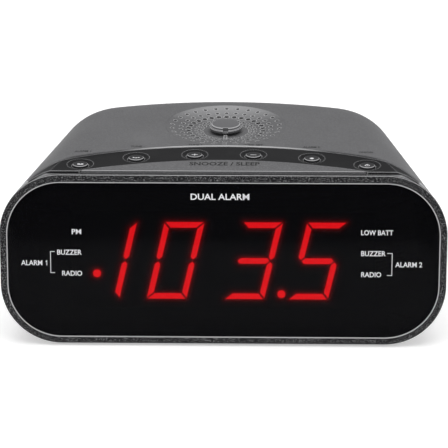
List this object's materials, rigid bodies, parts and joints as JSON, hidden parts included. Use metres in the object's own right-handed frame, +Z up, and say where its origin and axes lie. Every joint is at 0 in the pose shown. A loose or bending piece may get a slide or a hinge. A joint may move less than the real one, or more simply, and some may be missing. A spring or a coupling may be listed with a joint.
{
  "type": "clock radio",
  "caption": "Bedside clock radio: wide rounded case, leaning dark lens with red digits, curved key panel, snooze bar, and a dished grille with a volume knob.",
  "frame": {"origin": "middle of the footprint, on the surface that the feet stand on", "axes": "+Z up, the display faces -Y, +X to the right seen from the front and along the width"},
  "size_m": [0.1748, 0.1136, 0.071],
  "materials": {
    "housing": "satin fine-textured moulding",
    "panel": "satin",
    "bezel": "spark-textured",
    "lens": "high gloss, smoked",
    "segments": "lit red",
    "display_black": "matt",
    "circuit_board": "solder mask",
    "screw_steel": "zinc plated",
    "switch_black": "matt",
    "key": "satin",
    "knob": "satin",
    "control_steel": "plain",
    "speaker_steel": "satin",
    "paper": "pressed paper",
    "magnet": "sintered",
    "tinplate": "tinned",
    "capacitor": "sleeved can",
    "ferrite": "sintered",
    "coil": "enamelled wire",
    "clip": "natural nylon",
    "ribbon": "flat lead",
    "core_steel": "laminated",
    "winding": "taped winding",
    "contact": "nickel plated",
    "foot_rubber": "matt",
    "gland_rubber": "matt"
  },
  "bodies": {
    "root": {"top_cover": "housing", "bottom_cover": "housing", "speaker_grille": "housing", "control_panel": "panel", "front_bezel": "bezel", "display_lens": "lens", "display_segments": "segments", "led_display": "display_black", "display_mask": "display_black", "display_board": "circuit_board", "key_board": "circuit_board", "main_board": "circuit_board", "face_screws": "screw_steel", "speaker_screws": "screw_steel", "board_screws": "screw_steel", "case_screws": "screw_steel", "tactile_switches": "switch_black", "volume_control": "control_steel", "speaker_frame": "speaker_steel", "speaker_cone": "paper", "speaker_magnet": "magnet", "controller_chip": "switch_black", "tuner_can": "tinplate", "capacitors": "capacitor", "ferrite_antenna": "ferrite", "antenna_coil": "coil", "antenna_clips": "clip", "display_ribbon": "ribbon", "transformer_core": "core_steel", "transformer_winding": "winding", "transformer_bracket": "tinplate", "battery_contacts": "contact", "rubber_feet": "foot_rubber", "cord_gland": "gland_rubber", "antenna_grommet": "gland_rubber"},
    "snooze_bar": {"snooze_bar": "housing"},
    "volume_knob": {"volume_knob": "knob", "volume_shaft": "screw_steel"},
    "battery_door": {"battery_door": "housing"},
    "alarm_1_button": {"alarm_1_button": "key"},
    "tune_down_button": {"tune_down_button": "key"},
    "tune_up_button": {"tune_up_button": "key"},
    "time_button": {"time_button": "key"},
    "alarm_2_button": {"alarm_2_button": "key"},
    "power_button": {"power_button": "key"}
  },
  "joints": [
    {"name": "alarm_1_press", "type": "slide", "parent": "root", "child": "alarm_1_button", "axis": [0, 0, -1], "range_m": [0, 0.0008], "stiffness_N_per_m": 100, "springref_m": -0.002},
    {"name": "tune_down_press", "type": "slide", "parent": "root", "child": "tune_down_button", "axis": [0, 0, -1], "range_m": [0, 0.0008], "stiffness_N_per_m": 100, "springref_m": -0.002},
    {"name": "tune_up_press", "type": "slide", "parent": "root", "child": "tune_up_button", "axis": [0, 0, -1], "range_m": [0, 0.0008], "stiffness_N_per_m": 100, "springref_m": -0.002},
    {"name": "time_press", "type": "slide", "parent": "root", "child": "time_button", "axis": [0, 0, -1], "range_m": [0, 0.0008], "stiffness_N_per_m": 100, "springref_m": -0.002},
    {"name": "alarm_2_press", "type": "slide", "parent": "root", "child": "alarm_2_button", "axis": [0, 0, -1], "range_m": [0, 0.0008], "stiffness_N_per_m": 100, "springref_m": -0.002},
    {"name": "power_press", "type": "slide", "parent": "root", "child": "power_button", "axis": [0, 0, -1], "range_m": [0, 0.0008], "stiffness_N_per_m": 100, "springref_m": -0.002},
    {"name": "snooze_press", "type": "slide", "parent": "root", "child": "snooze_bar", "axis": [0, 0, -1], "range_m": [0, 0.0008], "stiffness_N_per_m": 200, "springref_m": -0.002},
    {"name": "volume_turn", "type": "hinge", "parent": "root", "child": "volume_knob", "pos_m": [0, 0.00675, 0.0685], "axis": [0, 0, 1], "range_deg": [-150, 150]},
    {"name": "battery_door_slide", "type": "slide", "parent": "root", "child": "battery_door", "axis": [0, 1, 0], "range_m": [0, 0.03]}
  ]
}
